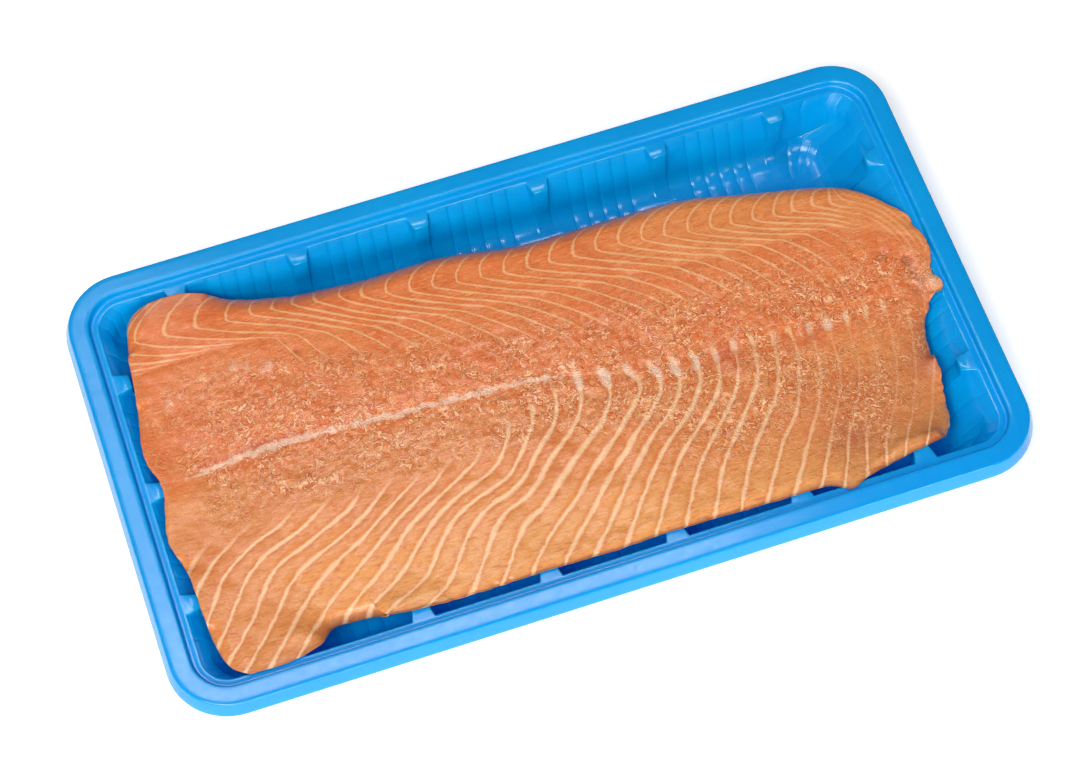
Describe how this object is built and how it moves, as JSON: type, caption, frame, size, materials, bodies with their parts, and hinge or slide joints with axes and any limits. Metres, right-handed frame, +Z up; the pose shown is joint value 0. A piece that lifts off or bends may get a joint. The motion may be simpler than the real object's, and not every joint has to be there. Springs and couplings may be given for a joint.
{
  "type": "pack of salmon fillet",
  "caption": "Raw salmon fillet lying skin side down in a rectangular blue moulded plastic tray with a flat rim, a stepped ledge and stacking lugs.",
  "frame": {"origin": "bottom centre of the tray, on the surface it rests on", "axes": "+X along the tray's long side, +Y across it towards the fillet's thick back, +Z up"},
  "size_m": [0.384, 0.2174, 0.03],
  "materials": {
    "tray_plastic": "glossy moulded blue polypropylene, plain, with soft reflections",
    "salmon_flesh": null
  },
  "bodies": {
    "root": {"tray": "tray_plastic", "fillet": "salmon_flesh"}
  },
  "joints": []
}
